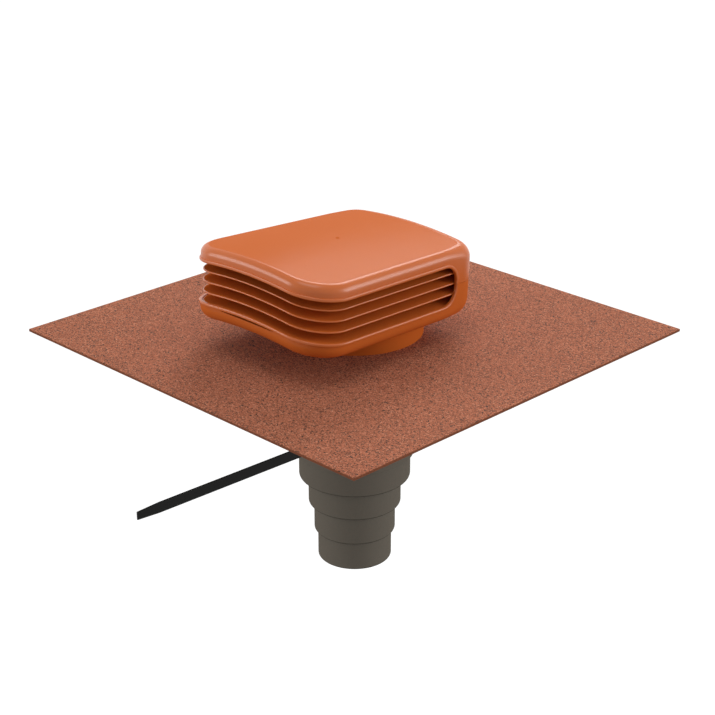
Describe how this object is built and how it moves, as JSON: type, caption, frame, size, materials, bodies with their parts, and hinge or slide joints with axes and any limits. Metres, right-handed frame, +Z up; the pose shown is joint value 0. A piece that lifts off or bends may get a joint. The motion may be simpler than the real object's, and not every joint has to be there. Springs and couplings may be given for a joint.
{
  "type": "roof vent terminal",
  "caption": "Roof vent terminal with a crowned louvred hood on a square felt sheet, a sleeve through the roof and a stepped duct adapter below it.",
  "frame": {"origin": "centre of the duct, on the underside of the felt sheet, which is the roof plane", "axes": "+Z up along the duct's axis, out of the roof; -Y towards the hood's open front; +Y towards its closed back"},
  "size_m": [0.6, 0.712, 0.472],
  "materials": {
    "orange_plastic": "satin moulded",
    "mineral_felt": "mineral granules",
    "grey_plastic": "matte",
    "seal_rubber": "matte",
    "black_nylon": "satin",
    "steel": "plated"
  },
  "bodies": {
    "root": {"hood_cover": "orange_plastic", "louvre_upper": "orange_plastic", "louvre_middle": "orange_plastic", "louvre_lower": "orange_plastic", "louvre_bottom": "orange_plastic", "hood_base": "orange_plastic", "hood_screws": "steel", "felt_sheet": "mineral_felt", "roof_sleeve": "grey_plastic", "neck_seal": "seal_rubber", "duct_adapter": "grey_plastic", "cable_tie": "black_nylon"}
  },
  "joints": []
}
